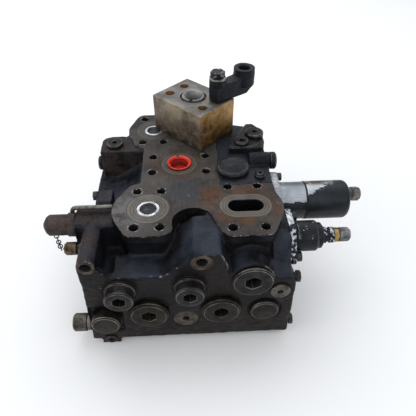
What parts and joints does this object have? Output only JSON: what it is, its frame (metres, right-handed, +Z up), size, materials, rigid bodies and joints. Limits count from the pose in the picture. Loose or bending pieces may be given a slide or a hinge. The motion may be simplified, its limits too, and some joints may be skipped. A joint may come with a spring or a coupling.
{
  "type": "hydraulic monoblock valve",
  "caption": "Cast hydraulic monoblock valve with flanged ports on a machined deck, plugged front face, sprung spool, relief valve and a bolted adaptor block with an arm.",
  "frame": {"origin": "centre of the square base pad on the underside", "axes": "+X along the spool towards its spring housing, +Y back from the plugged front face, +Z up through the port deck"},
  "size_m": [0.3255, 0.2559, 0.2144],
  "materials": {
    "casting": "black painted casting with a machined top",
    "plug_steel": "turned steel, worn rim",
    "seal_rubber": "black rubber",
    "black_steel": "black paint over steel",
    "cap_steel": "dusty red-brown paint",
    "bright_steel": "plain steel",
    "aluminium": "worn black finish over aluminium",
    "brass": "dull brass",
    "dust_cap_brass": "knurled, golden brown",
    "inner_steel": "ground steel",
    "spring_steel": "spring steel",
    "red_plastic": "moulded red",
    "grey_plastic": "moulded grey",
    "block_steel": "milled steel, golden brown stain",
    "forged_black": "forged, black"
  },
  "bodies": {
    "valve": {"valve_body": "casting", "socket_plug_seals": "seal_rubber", "socket_plugs": "plug_steel", "flange_plug_seals": "seal_rubber", "flange_plugs": "plug_steel", "compensator_plug_seal": "seal_rubber", "compensator_plug": "plug_steel", "gallery_plug": "plug_steel", "blank_plugs": "plug_steel", "foot_plug": "plug_steel", "left_cap_collar": "cap_steel", "left_end_cap": "cap_steel", "drain_pipe": "bright_steel", "upper_test_coupling": "bright_steel", "cap_chain": "spring_steel", "lower_test_coupling": "bright_steel", "rear_left_plugs": "black_steel", "pilot_cover_gasket": "seal_rubber", "pilot_cover": "black_steel", "pilot_cover_plugs": "black_steel", "round_cover": "black_steel", "barrel_end_plug": "black_steel", "deck_plug": "black_steel", "side_bolts": "black_steel", "spring_housing": "aluminium", "housing_screws": "plug_steel", "housing_seal": "seal_rubber", "spring_cap": "aluminium", "end_fitting": "brass", "end_nut": "bright_steel", "inner_spring_seat": "inner_steel", "spool_spring": "spring_steel", "relief_flange": "aluminium", "relief_screws": "plug_steel", "relief_body": "black_steel", "relief_ring": "black_steel", "relief_collar": "brass", "relief_lock_nut": "brass", "relief_spring": "spring_steel", "port_seats": "inner_steel", "front_poppet_spring": "spring_steel", "rear_poppet_spring": "spring_steel", "adaptor_block": "block_steel", "block_side_plug": "plug_steel", "arm_washer": "bright_steel", "arm_bolt": "forged_black"},
    "spool_set": {"spool": "inner_steel", "outer_spring_seat": "inner_steel", "spool_screw": "inner_steel"},
    "front_poppet_body": {"front_poppet": "inner_steel"},
    "rear_poppet_body": {"rear_poppet": "inner_steel"},
    "relief_poppet_body": {"relief_poppet": "inner_steel"},
    "adjuster": {"relief_adjuster": "spring_steel"},
    "arm": {"offset_arm": "forged_black"},
    "red_plug": {"red_port_plug": "red_plastic"},
    "grey_plug": {"grey_port_plug": "grey_plastic"},
    "upper_cap": {"upper_dust_cap": "dust_cap_brass"},
    "lower_cap": {"lower_dust_cap": "dust_cap_brass"}
  },
  "joints": [
    {"name": "spool_slide", "type": "slide", "parent": "valve", "child": "spool_set", "axis": [1, 0, 0], "range_m": [-0.007, 0.007], "stiffness_N_per_m": 8000, "deforming": ["spool_spring"]},
    {"name": "front_poppet_lift", "type": "slide", "parent": "valve", "child": "front_poppet_body", "axis": [0, 0, -1], "range_m": [0, 0.004], "stiffness_N_per_m": 1500, "springref_m": -0.003, "deforming": ["front_poppet_spring"]},
    {"name": "rear_poppet_lift", "type": "slide", "parent": "valve", "child": "rear_poppet_body", "axis": [0, 0, -1], "range_m": [0, 0.004], "stiffness_N_per_m": 1500, "springref_m": -0.003, "deforming": ["rear_poppet_spring"]},
    {"name": "relief_poppet_lift", "type": "slide", "parent": "valve", "child": "relief_poppet_body", "axis": [1, 0, 0], "range_m": [0, 0.002], "stiffness_N_per_m": 15000, "springref_m": -0.004, "deforming": ["relief_spring"]},
    {"name": "relief_adjust", "type": "hinge", "parent": "valve", "child": "adjuster", "pos_m": [0.14, -0.072, 0.106], "axis": [1, 0, 0], "range_deg": [-360, 360]},
    {"name": "arm_swing", "type": "hinge", "parent": "valve", "child": "arm", "pos_m": [0.02738, 0.06945, 0.181], "axis": [0, 0, 1], "range_deg": [-100, 40]},
    {"name": "red_plug_pull", "type": "slide", "parent": "valve", "child": "red_plug", "axis": [0, 0, 1], "range_m": [0, 0.03]},
    {"name": "grey_plug_pull", "type": "slide", "parent": "valve", "child": "grey_plug", "axis": [0, 0, 1], "range_m": [0, 0.03]},
    {"name": "upper_cap_turn", "type": "hinge", "parent": "valve", "child": "upper_cap", "pos_m": [-0.122, -0.079, 0.1075], "axis": [1, 0, 0], "continuous": true},
    {"name": "lower_cap_turn", "type": "hinge", "parent": "valve", "child": "lower_cap", "pos_m": [-0.124, -0.106, 0.023], "axis": [1, 0, 0], "continuous": true}
  ]
}
